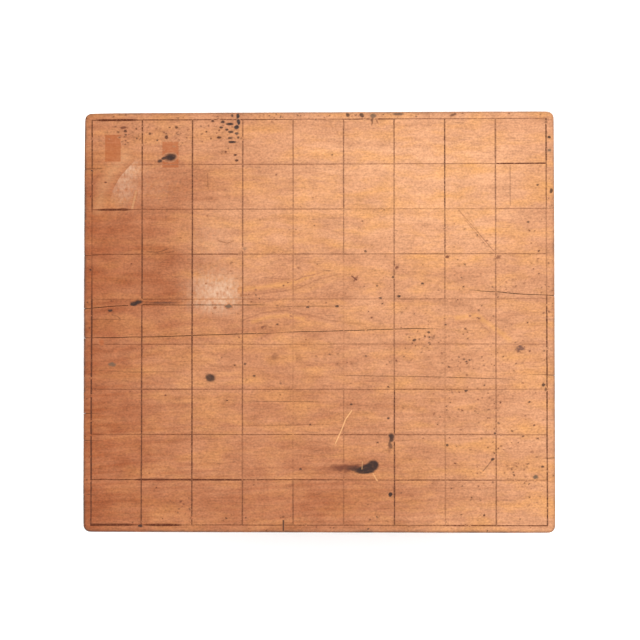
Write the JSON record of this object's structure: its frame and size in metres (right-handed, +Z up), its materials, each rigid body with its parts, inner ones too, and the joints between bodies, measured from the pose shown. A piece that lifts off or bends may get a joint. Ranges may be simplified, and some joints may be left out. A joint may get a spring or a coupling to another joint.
{
  "type": "shogi board",
  "caption": "Thick wooden shogi board ruled with a grid of slightly oblong cells, standing on low carved legs.",
  "frame": {"origin": "on the floor, under the middle of the board", "axes": "+X along the grain and the longer side of the cells, from one player to the other; +Y across the grain; +Z up"},
  "size_m": [0.364, 0.325, 0.197],
  "materials": {
    "board_wood": "worn satin",
    "leg_wood": "satin",
    "file_lacquer": "worn lacquer",
    "rank_lacquer": "worn lacquer"
  },
  "bodies": {
    "root": {"board_block": "board_wood", "file_lines": "file_lacquer", "rank_lines": "rank_lacquer", "leg_front_left": "leg_wood", "leg_front_right": "leg_wood", "leg_back_left": "leg_wood", "leg_back_right": "leg_wood"}
  },
  "joints": []
}
